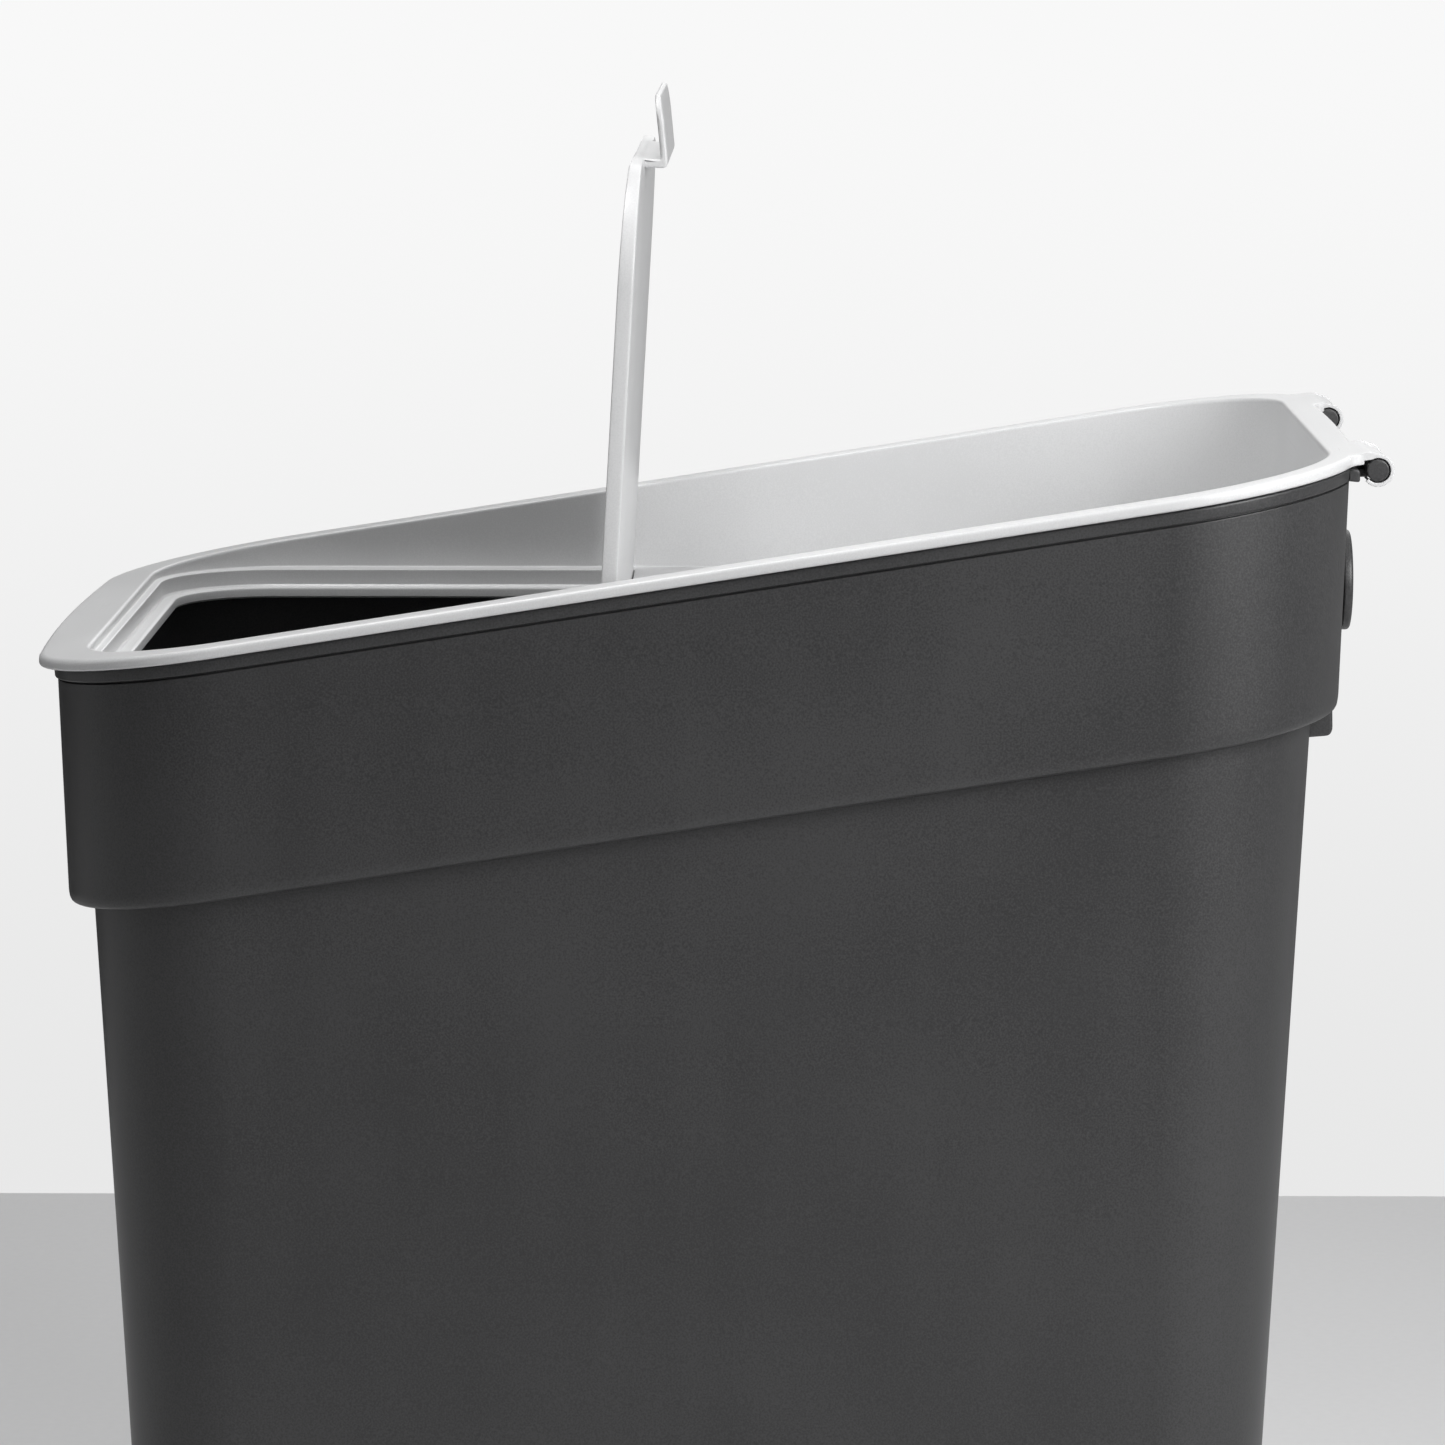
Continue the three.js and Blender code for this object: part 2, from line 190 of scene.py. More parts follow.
# Runs a closed (y, z) profile along X between two ends whose edges are rounded off.
def runAlongX(skin, profile, fromX, toX, edge, pull=None, steps=4, middle=1):
    profile = np.array(profile)
    inward = inwardWays(profile)
    rings = []
    for end, sign in ((fromX, 1), (toX, -1)):
        some = []
        for i in range(steps + 1):
            a = math.pi / 2 * i / steps
            shrink = edge * (1 - math.sin(a))
            some.append((end + sign * edge * (1 - math.cos(a)), shrink))
        rings.append(some)
    inner = [(fromX + edge + (toX - fromX - 2 * edge) * i / middle, 0.0) for i in range(1, middle)]
    path = rings[0] + inner + rings[1][::-1]
    made = []
    for x, shrink in path:
        section = profile + inward * shrink
        if pull:
            section = pull(section, x)
        made.append(skin.ring([(x, y, z) for y, z in section]))
    for a, b in zip(made, made[1:]):
        skin.bridge(a, b)
    skin.plate(made[0])
    skin.plate(made[-1])


# Unit ways into a closed profile at each of its points.
def inwardWays(profile):
    ahead = np.roll(profile, -1, axis=0) - profile
    behind = profile - np.roll(profile, 1, axis=0)
    ahead /= np.linalg.norm(ahead, axis=1)[:, None] + 1e-12
    behind /= np.linalg.norm(behind, axis=1)[:, None] + 1e-12
    along = ahead + behind
    along /= np.linalg.norm(along, axis=1)[:, None] + 1e-12
    area = 0.5 * np.sum(
        profile[:, 0] * np.roll(profile[:, 1], -1) - np.roll(profile[:, 0], -1) * profile[:, 1]
    )
    side = 1 if area > 0 else -1
    return np.column_stack([-along[:, 1], along[:, 0]]) * side


def closedSoft(corners, steps=4):  # softened, but for a closed outline
    looped = [corners[-1], *corners, corners[0]]
    out = []
    for k in range(1, len(looped) - 1):
        piece = softened([looped[k - 1], looped[k], looped[k + 1]], steps)
        out.extend(piece[1:-1])
    return out


class Wire:  # one shader value; arithmetic on it adds Math nodes
    def __init__(self, tree, socket):
        self.tree, self.socket = tree, socket

    def math(self, operation, *values):
        return self.tree.node("Math", {"operation": operation}, dict(enumerate(values)))

    def __add__(self, other):
        return self.math("ADD", self, other)

    def __radd__(self, other):
        return self.math("ADD", other, self)

    def __sub__(self, other):
        return self.math("SUBTRACT", self, other)

    def __rsub__(self, other):
        return self.math("SUBTRACT", other, self)

    def __mul__(self, other):
        return self.math("MULTIPLY", self, other)

    def __rmul__(self, other):
        return self.math("MULTIPLY", other, self)

    def between(self, low, high):  # 0 at low, 1 at high, smooth and held outside
        settings = {"interpolation_type": "SMOOTHSTEP"}
        return self.tree.node("MapRange", settings, {"Value": self, "From Min": low, "From Max": high})


class Tree:  # the shader nodes of one material or world
    def __init__(self, owner):
        owner.use_nodes = True
        self.nodes, self.links = owner.node_tree.nodes, owner.node_tree.links
        self.nodes.clear()

    def node(self, kind, settings, sockets, out=0):
        made = self.nodes.new("ShaderNode" + kind)
        for key, value in settings.items():
            setattr(made, key, value)
        for key, value in sockets.items():
            if isinstance(value, Wire):
                self.links.new(value.socket, made.inputs[key])
            else:
                made.inputs[key].default_value = value
        return Wire(self, made.outputs[out]) if made.outputs else None

    def noise(self, scale, detail=2.0, stretch=(1, 1, 1), rough=0.5):
        place = self.node("TexCoord", {}, {}, out=3)
        scaled = self.node("Mapping", {}, {"Vector": place, "Scale": stretch})
        sockets = {"Vector": scaled, "Scale": scale, "Detail": detail, "Roughness": rough}
        return self.node("TexNoise", {"noise_dimensions": "3D"}, sockets)

    def greyMix(self, mask, low, high):  # a colour between two tones
        return self.node("Mix", {"data_type": "RGBA"}, {0: mask, 6: (*low, 1), 7: (*high, 1)}, out=2)

    def bump(self, height, strength, distance):
        sockets = {"Height": height, "Strength": strength, "Distance": distance}
        return self.node("Bump", {}, sockets)

    def surface(self, sockets):
        shader = self.node("BsdfPrincipled", {}, sockets)
        self.node("OutputMaterial", {}, {"Surface": shader})


darkLook = {
    "low": (0.028, 0.028, 0.029),
    "high": (0.049, 0.049, 0.050),
    "rough": 0.40,
    "grainScale": 2000,
    "speckScale": 4200,
    "grainHeight": 0.05 * mm,
    "grainStrength": 0.5,
}


def darkPlastic():
    look = darkLook
    made = bpy.data.materials.new("darkPlastic")
    tree = Tree(made)
    grain = tree.noise(look["grainScale"], 3)
    speck = tree.noise(look["speckScale"], 1)
    cloud = tree.noise(9, 3, rough=0.6)
    flow = tree.noise(60, 2, stretch=(1, 1, 0.08))  # upright streaks from the mould
    tone = (cloud * 0.3 + grain * 0.6 + flow * 0.1).between(0.36, 0.64)
    height = grain * 0.7 + speck * 0.3
    tree.surface(
        {
            "Base Color": tree.greyMix(tone, look["low"], look["high"]),
            "Roughness": look["rough"] + (grain - 0.5) * 0.16 + (cloud - 0.5) * 0.10,
            "Normal": tree.bump(height, look["grainStrength"], look["grainHeight"]),
        }
    )
    return made


paleLook = {
    "low": (0.595, 0.597, 0.601),
    "high": (0.655, 0.657, 0.661),
    "rough": 0.34,
    "peelScale": 420,
    "grainScale": 2400,
    "peelHeight": 0.03 * mm,
    "peelStrength": 0.2,
}


def palePlastic():
    look = paleLook
    made = bpy.data.materials.new("palePlastic")
    tree = Tree(made)
    cloud = tree.noise(14, 3)
    peel = tree.noise(look["peelScale"], 2)
    grain = tree.noise(look["grainScale"], 2)
    scuff = tree.noise(500, 4, stretch=(0.06, 1, 1)).between(0.62, 0.74)  # fine wiping marks
    tone = (cloud * 0.5 + grain * 0.5).between(0.35, 0.65)
    height = peel * 0.8 + grain * 0.2
    tree.surface(
        {
            "Base Color": tree.greyMix(tone, look["low"], look["high"]),
            "Roughness": look["rough"] + (grain - 0.5) * 0.10 + (cloud - 0.5) * 0.08 + scuff * 0.08,
            "Normal": tree.bump(height, look["peelStrength"], look["peelHeight"]),
        }
    )
    return made


dark = darkPlastic()
pale = palePlastic()
print("materials made")

bucketParts = {
    "collarIn": 3.6 * mm,
    "collarRearOut": 1.2 * mm,
    "collarTaper": 0.034,
    "bodyIn": 8.4 * mm,
    "bodyTaper": 0.051,
    "wall": 2.2 * mm,
    "top": 3.3 * mm,  # bucket's rim below the rim plane
    "bottom": 64.6 * mm,  # collar's lower edge below the rim plane
    "lip": 5 * mm,  # how far the collar hangs over the body
    "shoulder": 57.4 * mm,  # inside step below the rim plane
    "beadOut": 0.8 * mm,
    "beadTall": 3.2 * mm,
    "grooveDeep": 0.9 * mm,
    "grooveTall": 0.4 * mm,
    "foot": 2 * mm,  # underside above the foot ring
    "footBend": 20 * mm,  # where the outside wall starts above the foot's corner
    "footCorner": 5.5 * mm,
    "footRingIn": 12 * mm,
    "floor": 5 * mm,
    "floorCorner": 7 * mm,
    "floorBend": 16 * mm,  # where the inside wall starts to turn into the floor
}


def rimPlan(rearOut=0.0):
    return roundedOutline(
        rim["halfX"], rim["halfY"], rim["halfY"] + rearOut, rim["corner"], rim["corner"],
        rim["frontBow"], rim["rearBow"],
    )


rimOutline = rimPlan()
collarOutline = rimPlan(bucketParts["collarRearOut"])

def collarRing(out, depth):
    part = bucketParts
    return ringAt(collarOutline, out - part["collarIn"], part["collarTaper"], rimZ - depth, rim["slope"])


def bodyRing(out, z, slope=0.0):
    part = bucketParts
    return ringAt(rimOutline, out - part["bodyIn"], part["bodyTaper"], z, slope)


# Rings up the body wall, turning from level to parallel with the rim.
def bodyWall(out, lowZ, depth, steps=8):
    for i in range(1, steps + 1):
        f = i / steps
        yield bodyRing(out, (1 - f) * lowZ + f * (rimZ - depth), f * rim["slope"])


def buildBucket():
    part = bucketParts
    wall, top, bottom = part["wall"], part["top"], part["bottom"]
    bead, groove = part["beadOut"], part["grooveDeep"]
    beadLow = top + part["beadTall"]
    grooveTop = beadLow + 0.15 * mm
    grooveLow = grooveTop + part["grooveTall"]
    skin = Skin()
    foot = softened(
        [
            (-21.5 * mm, part["foot"], 0),
            (-19.5 * mm, part["foot"], 0.6 * mm),
            (-19 * mm, part["foot"] - 0.6 * mm, 0.6 * mm),
            (-part["footRingIn"] - 1.6 * mm, part["foot"] - 0.6 * mm, 1 * mm),
            (-part["footRingIn"], 0, 1 * mm),
            (0, 0, part["footCorner"]),
            (0, part["footBend"], 0),
        ],
        6,
    )
    rings = [bodyRing(out, z) for out, z in foot]
    rings += list(bodyWall(0, part["footBend"], bottom - part["lip"]))
    outside = softened(
        [
            (-wall, bottom - part["lip"], 0),
            (-wall, bottom, 0.4 * mm),
            (-1.4 * mm, bottom, 0.5 * mm),
            (-0.35 * mm, bottom - 0.7 * mm, 0.9 * mm),
            (0, bottom - 2.6 * mm, 1.2 * mm),
            (0, grooveLow + 0.15 * mm, 0.25 * mm),
            (-groove, grooveLow, 0.1 * mm),
            (-groove, grooveTop, 0.1 * mm),
            (bead - 0.1 * mm, beadLow, 0.35 * mm),
            (bead, top + 1.4 * mm, 0.6 * mm),
            (bead, top, 0.8 * mm),
            (-wall, top, 0.7 * mm),
            (-wall, part["shoulder"], 0),
        ],
        5,
    )
    rings += [collarRing(out, depth) for out, depth in outside]
    rings.append(bodyRing(-wall, rimZ - part["shoulder"], rim["slope"]))
    insideTop = part["shoulder"] + 8 * mm
    rings.append(bodyRing(-wall, rimZ - insideTop, rim["slope"]))
    rings += list(bodyWall(-wall, part["floorBend"], insideTop))[-2::-1]
    rings.append(bodyRing(-wall, part["floorBend"]))
    floor = softened(
        [
            (-wall, part["floorBend"], 0),
            (-wall, part["floor"], part["floorCorner"]),
            (-20 * mm, part["floor"], 0),
        ],
        6,
    )
    rings += [bodyRing(out, z) for out, z in floor[1:]]
    made = skin.loft(rings)
    skin.fan(made[0])
    skin.fan(made[-1])
    return skin.toObject("bucketShell", dark, (0, midY, 0))


bucketShell = buildBucket()
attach(bucketShell, "bucket")
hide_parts("bucket")

lugs = {"x": 60 * mm, "width": 14 * mm, "drop": 9.6 * mm}


def buildLugs():
    part = bucketParts
    skin = Skin()
    edgeZ = rimZ + rim["slope"] * rim["halfY"] - part["bottom"]
    y = rim["halfY"] - part["collarIn"]
    low = edgeZ - lugs["drop"]
    profile = closedSoft(
        [
            (y - 8.6 * mm, low, 0.3 * mm),
            (y - 1.6 * mm, low + 0.6 * mm, 0.9 * mm),
            (y - 0.8 * mm, low + 2 * mm, 0.9 * mm),
            (y - 1.1 * mm, edgeZ + 5.6 * mm, 0.2 * mm),
            (y - 8.6 * mm, edgeZ + 4.4 * mm, 0.2 * mm),
        ]
    )
    for side in (-1, 1):
        middle = side * lugs["x"]
        half = lugs["width"] / 2
        runAlongX(skin, profile, middle - half, middle + half, 0.8 * mm)
    return skin.toObject("hangingLugs", dark, (0, midY, 0))


hangingLugs = buildLugs()
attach(hangingLugs, "bucket")
print("bucket made")

bracket = {
    "pin": 2.85 * mm,
    "neckTop": -0.2 * mm,
    "neckLow": -2.6 * mm,
    "armFrom": 62 * mm,
    "armTo": 73.5 * mm,
    "rootTop": 0.4 * mm,
    "rootLow": -3 * mm,
    "rootEnd": -4.45 * mm,
}


def circle(y, z, radius, count=40):
    turns = [2 * math.pi * i / count for i in range(count)]
    return [(y + radius * math.cos(a), z + radius * math.sin(a)) for a in turns]


def buildBracket(side, node, name):
    low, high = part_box(node)
    skin = Skin()
    runAlongX(skin, circle(lidAxis.y, lidAxis.z, bracket["pin"]), low.x, high.x, 0.45 * mm)
    wallY = low.y - 0.5 * mm  # just inside the bead
    rootY = lidAxis.y + bracket["rootEnd"]
    root = closedSoft(
        [
            (wallY, lidAxis.z + bracket["rootLow"] + 0.3 * mm, 0.2 * mm),
            (rootY, lidAxis.z + bracket["rootLow"], 0.7 * mm),
            (rootY, lidAxis.z + bracket["rootTop"] - 0.5 * mm, 0.6 * mm),
            (rootY - 0.8 * mm, lidAxis.z + bracket["rootTop"], 0.5 * mm),
            (wallY, lidAxis.z + bracket["rootTop"], 0.2 * mm),
        ]
    )
    runAlongX(skin, root, low.x, high.x, 0.5 * mm)
    neck = closedSoft(
        [
            (wallY, lidAxis.z + bracket["neckLow"], 0.2 * mm),
            (lidAxis.y, lidAxis.z + bracket["neckLow"], 0.2 * mm),
            (lidAxis.y, lidAxis.z + bracket["neckTop"], 0.2 * mm),
            (wallY, lidAxis.z + bracket["neckTop"], 0.2 * mm),
        ]
    )
    ends = sorted((side * bracket["armFrom"], side * bracket["armTo"]))
    runAlongX(skin, neck, ends[0], ends[1], 0.4 * mm)
    made = skin.toObject(name, dark)
    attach(made, "bucket")
    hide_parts(node)
    return made


buildBracket(-1, "hinge_bracket_left", "pinBracketLeft")
buildBracket(1, "hinge_bracket_right", "pinBracketRight")
print("hinge brackets made")

stud = {
    "head": 13.25 * mm,
    "groove": 11.4 * mm,
    "dish": 9 * mm,
    "dishDepth": 0.5 * mm,
    "boss": 3 * mm,
    "bossTall": 0.3 * mm,
    "plateFrom": 2.2 * mm,  # collar's wall, which the shank goes through
    "grooveFrom": 2.1 * mm,
    "grooveTo": 4.1 * mm,
}


def buildStud():
    low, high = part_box("rear_stud")
    z = (low.z + high.z) / 2
    back = low.y + stud["plateFrom"]
    face = high.y
    head, groove, boss = stud["head"], stud["groove"], stud["boss"]
    grooveFrom, grooveTo = back + stud["grooveFrom"], back + stud["grooveTo"]
    dishY = face - stud["dishDepth"]
    bossY = dishY + stud["bossTall"]
    profile = softened(
        [
            (0, back, 0),
            (head, back, 0.5 * mm),
            (head, grooveFrom, 0.5 * mm),
            (groove, grooveFrom + 0.2 * mm, 0.4 * mm),
            (groove, grooveTo - 0.2 * mm, 0.4 * mm),
            (head, grooveTo, 0.5 * mm),
            (head, face, 1.1 * mm),
            (stud["dish"], face, 0.5 * mm),
            (stud["dish"] - 0.6 * mm, dishY, 0.5 * mm),
            (boss, dishY, 0.5 * mm),
            (boss - 0.5 * mm, bossY, 0.4 * mm),
            (0, bossY, 0),
        ]
    )
    skin = Skin()
    tip = 0.02 * mm  # the ends close on a very small ring
    rings = [[(x, y, up) for x, up in circle(0, z, max(radius, tip), 72)] for radius, y in profile]
    made = skin.loft(rings)
    skin.fan(made[0])
    skin.fan(made[-1])
    return skin.toObject("hangingStud", dark)


hangingStud = buildStud()
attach(hangingStud, "bucket")
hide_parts("rear_stud")
print("rear stud made")

lid = {
    "thick": 3 * mm,
    "wellX": 111.2 * mm,
    "wellFront": 153.4 * mm,
    "wellRear": 158.2 * mm,
    "wellFrontCorner": 38 * mm,
    "wellRearCorner": 44 * mm,
    "wellTaper": 0.03,
    "wellFloorCorner": 0.8 * mm,
    "trayDown": 26.2 * mm,
    "trayThick": 2.2 * mm,
    "wall": 1.8 * mm,
    "recessX": 103 * mm,
    "recessFront": 150.4 * mm,
    "recessCorner": 30 * mm,
    "seatDown": 30.9 * mm,
    "lipDown": 33.8 * mm,
    "seat": 4 * mm,
    "rearPlay": 2.5 * mm,  # flap axis to the tray's front edge
    "bar": 6 * mm,  # flap axis to the opening's rear edge
}
wellOutline = roundedOutline(
    lid["wellX"], lid["wellFront"], lid["wellRear"], lid["wellFrontCorner"], lid["wellRearCorner"]
)


# Plan of the flap's recess: big front corners and small rear ones.
def flapOutline(grow, rearEdge, rearCorner=1 * mm):
    x = lid["recessX"] + grow
    front = lid["recessFront"] + grow
    corner = lid["recessCorner"] + grow
    points = []
    for side, y, radius, start in (
        (1, rearEdge - rearCorner, rearCorner, 0),
        (-1, rearEdge - rearCorner, rearCorner, 90),
        (-1, corner - front, corner, 180),
        (1, corner - front, corner, 270),
    ):
        for i in range(arcSteps + 1):
            a = math.radians(start + 90 * i / arcSteps)
            points.append((side * (x - radius) + radius * math.cos(a), y + radius * math.sin(a)))
    return points


def buildLid():
    skin = Skin()
    floorZ = rimZ - lid["trayDown"]
    seatZ = rimZ - lid["seatDown"]
    lipZ = rimZ - lid["lipDown"]
    underZ = floorZ - lid["trayThick"]
    hingeY = flapAxis.y - midY
    recessRear = hingeY + lid["rearPlay"]
    openRear = hingeY - lid["bar"]

    def well(out, z, slope=0.0):
        return ringAt(wellOutline, out, lid["wellTaper"], z, slope)

    outside = softened(
        [
            (-3 * mm, lid["thick"], 0),
            (0, lid["thick"], 1.0 * mm),
            (0, 0, 1.5 * mm),
            (-4 * mm, 0, 0),
        ],
        6,
    )
    rings = [well(lid["wall"], underZ), well(lid["wall"], rimZ - lid["thick"], rim["slope"])]
    rings += [ringAt(rimOutline, out, 0, rimZ - down, rim["slope"]) for out, down in outside]
    edge = softened([(3.2 * mm, 0, 0), (0, 0, 1.1 * mm), (0, 3 * mm, 0)], 5)
    edgeEnd = 1.2 * mm  # where the rounded edge has become the well's wall
    rings += [well(out, rimZ - down, rim["slope"]) for out, down in edge if down < edgeEnd]
    corner = lid["wellFloorCorner"]
    wallSteps = 6
    for i in range(1, wallSteps):
        f = 1 - i / wallSteps
        z = f * (rimZ - edgeEnd) + (1 - f) * (floorZ + corner)
        rings.append(well(0, z, f * rim["slope"]))
    fillet = softened([(0, floorZ + corner, 0), (0, floorZ, corner), (-corner, floorZ, 0)], 4)
    rings += [well(out, z) for out, z in fillet]
    made = skin.loft(rings)
    under, floorLoop = made[0], made[-1]

    # the flap's recess, then the seat, the opening and the frame below them
    recessLevels = [
        (0.4 * mm, floorZ),
        (0.12 * mm, floorZ - 0.12 * mm),
        (0, floorZ - 0.4 * mm),
        (0, seatZ + 0.5 * mm),
        (-0.5 * mm, seatZ),
    ]
    recess = [
        skin.ring([(x, y, z) for x, y in flapOutline(grow, recessRear + grow)])
        for grow, z in recessLevels
    ]
    for a, b in zip(recess, recess[1:]):
        skin.bridge(a, b)
    skin.plate(floorLoop, recess[0])
    openingLevels = [
        (0.7 * mm, seatZ),
        (0.2 * mm, seatZ - 0.2 * mm),
        (0, seatZ - 0.7 * mm),
        (0, lipZ + 0.5 * mm),
        (0.5 * mm, lipZ),
    ]
    opening = [
        skin.ring(
            [(x, y, z) for x, y in flapOutline(grow - lid["seat"], openRear + grow, 3 * mm)]
        )
        for grow, z in openingLevels
    ]
    for a, b in zip(opening, opening[1:]):
        skin.bridge(a, b)
    skin.plate(recess[-1], opening[0])
    frameRear = recessRear + lid["wall"] + 2 * mm
    borderLevels = [
        (lid["wall"] - 0.4 * mm, lipZ),
        (lid["wall"], lipZ + 0.4 * mm),
        (lid["wall"], underZ),
    ]
    border = [
        skin.ring([(x, y, z) for x, y in flapOutline(grow, frameRear + grow - lid["wall"], 2 * mm)])
        for grow, z in borderLevels
    ]
    for a, b in zip(border, border[1:]):
        skin.bridge(a, b)
    skin.plate(border[0], opening[-1])
    skin.plate(under, border[-1])
    return skin.toObject("lidFrame", pale, (0, midY, 0))


lidFrame = buildLid()
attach(lidFrame, "lid")
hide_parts("lid")

hook = {
    "inner": 3.15 * mm,
    "outer": 4.1 * mm,
    "lipDeg": 222,
    "midDeg": 340,
    "root": 6 * mm,
    "thick": 1.8 * mm,
    "fromX": 52 * mm,
    "toX": 83 * mm,
    "windowFrom": 60.5 * mm,
    "windowTo": 75 * mm,
    "band": 1.4 * mm,  # width of the raised band at each end
    "bandOut": 0.4 * mm,
    "filletReach": 2.6 * mm,
}


# Section through a hook: a slab level with the rim that runs into a C round the pin.
def hookSection(endDeg, less=0.0):
    y, z = lidAxis.y - midY, lidAxis.z
    rootY = rim["halfY"] - hook["root"]

    def planeAt(at):
        return rimZ + rim["slope"] * at

    underZ = planeAt(y - hook["inner"]) - hook["thick"]
    startDeg = 180 - math.degrees(math.asin((underZ - z) / hook["inner"]))
    turn = startDeg + 360 - endDeg
    count = round(turn / 7)
    outer = min(hook["outer"], lidHigh.y - lidAxis.y) - less

    def around(radius, fromDeg, toDeg):
        spots = []
        for i in range(count + 1):
            a = math.radians(fromDeg + (toDeg - fromDeg) * i / count)
            spots.append((y + radius * math.cos(a), z + radius * math.sin(a)))
        return spots

    top = 0.02 * mm
    return [
        (rootY, planeAt(rootY) - hook["thick"]),
        *around(hook["inner"], startDeg, startDeg - turn),
        *around(outer, startDeg - turn, 84),
        (y - 1.6 * mm, planeAt(y - 1.6 * mm) - top - 0.12 * mm),
        (y - 3.2 * mm, planeAt(y - 3.2 * mm) - top),
        (rootY, planeAt(rootY) - top),
    ]


def buildHooks():
    skin = Skin()
    for side in (-1, 1):
        band, less, into = hook["band"], hook["bandOut"], 0.4 * mm
        for endDeg, sink, a, b in (
            (hook["lipDeg"], 0, hook["fromX"], hook["fromX"] + band),
            (hook["lipDeg"], less, hook["fromX"] + band - into, hook["windowFrom"]),
            (hook["midDeg"], less, hook["windowFrom"] - into, hook["windowTo"] + into),
            (hook["lipDeg"], less, hook["windowTo"], hook["toX"] - band + into),
            (hook["lipDeg"], 0, hook["toX"] - band, hook["toX"]),
        ):
            ends = sorted((side * a, side * b))
            runAlongX(skin, hookSection(endDeg, sink), ends[0], ends[1], 0.2 * mm)
        for a in (hook["fromX"], hook["toX"]):  # a rounded corner between hook and rim
            buildFillet(skin, side, side * a, 1 if a == hook["toX"] else -1)
    return skin.toObject("lidHooks", pale, (0, midY, 0))


# A small concave fillet in plan where the side of a hook meets the rim's edge.
def buildFillet(skin, side, x, way):
    out = side * way
    reach = hook["filletReach"]
    edgeX = abs(x) + way * reach
    straight = rim["halfX"] - rim["corner"]

    def edgeY(at):
        if at <= straight:
            return rim["halfY"] + rim["rearBow"] * (1 - (at / straight) ** 2)
        return rim["halfY"] - rim["corner"] + math.sqrt(rim["corner"] ** 2 - (at - straight) ** 2)

    corner = np.array([x - out * 0.3 * mm, edgeY(abs(x)) - 0.8 * mm])
    tip = np.array([x - out * 0.3 * mm, edgeY(abs(x)) + reach])
    foot = np.array([x + out * reach, edgeY(edgeX) - 0.05 * mm])
    inside = np.array([x + out * reach, edgeY(edgeX) - 0.8 * mm])
    pivot = np.array([x, edgeY(abs(x))])
    start = np.array([x, edgeY(abs(x)) + reach])
    plan = [corner, tip, start]
    for i in range(1, 8):
        t = i / 8
        plan.append((1 - t) ** 2 * start + 2 * t * (1 - t) * pivot + t * t * foot)
    plan += [foot, inside]
    levels = (  # depth below the rim plane, how far the edge is rounded off
        (0.1 * mm, 0.5 * mm),
        (0.3 * mm, 0.15 * mm),
        (0.7 * mm, 0),
        (2.6 * mm, 0),
        (2.9 * mm, 0.3 * mm),
    )
    rings = []
    for down, shrink in levels:
        ring = []
        for k, (px, py) in enumerate(plan):
            pull = shrink if 1 < k < len(plan) - 1 else 0
            qx, qy = px - out * pull * 0.7, py - pull * 0.7
            ring.append((qx, qy, rimZ + rim["slope"] * qy - down))
        rings.append(ring)
    made = skin.loft(rings)
    skin.plate(made[0])
    skin.plate(made[-1])


lidHooks = buildHooks()
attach(lidHooks, "lid")
print("lid made")

flap = {
    "play": 0.6 * mm,
    "frontPlay": 2.2 * mm,
    "half": 2 * mm,
    "skin": 1.8 * mm,
    "pocketRear": -8 * mm,
    "tabHalf": 46.6 * mm,
    "tabTip": 164.35 * mm,
    "tabAbove": 0.5 * mm,
    "tabThick": 1.7 * mm,
    "tabCorner": 6 * mm,
    "tabBlend": 9 * mm,  # length of the tab that follows its rounded corners
    "riser": 2.2 * mm,
    "ribX": 52 * mm,
    "ribHalf": 0.7 * mm,
    "skirtFullUntil": 0.72,  # share of the flap's length
    "skirtLoss": 0.35,
}


def flapPlan(grow, rearEdge, rearCorner=0.8 * mm):
    toAxis = midY - flapAxis.y + flap["frontPlay"] - flap["play"]
    return [(x, y + toAxis) for x, y in flapOutline(grow, rearEdge - toAxis, rearCorner)]


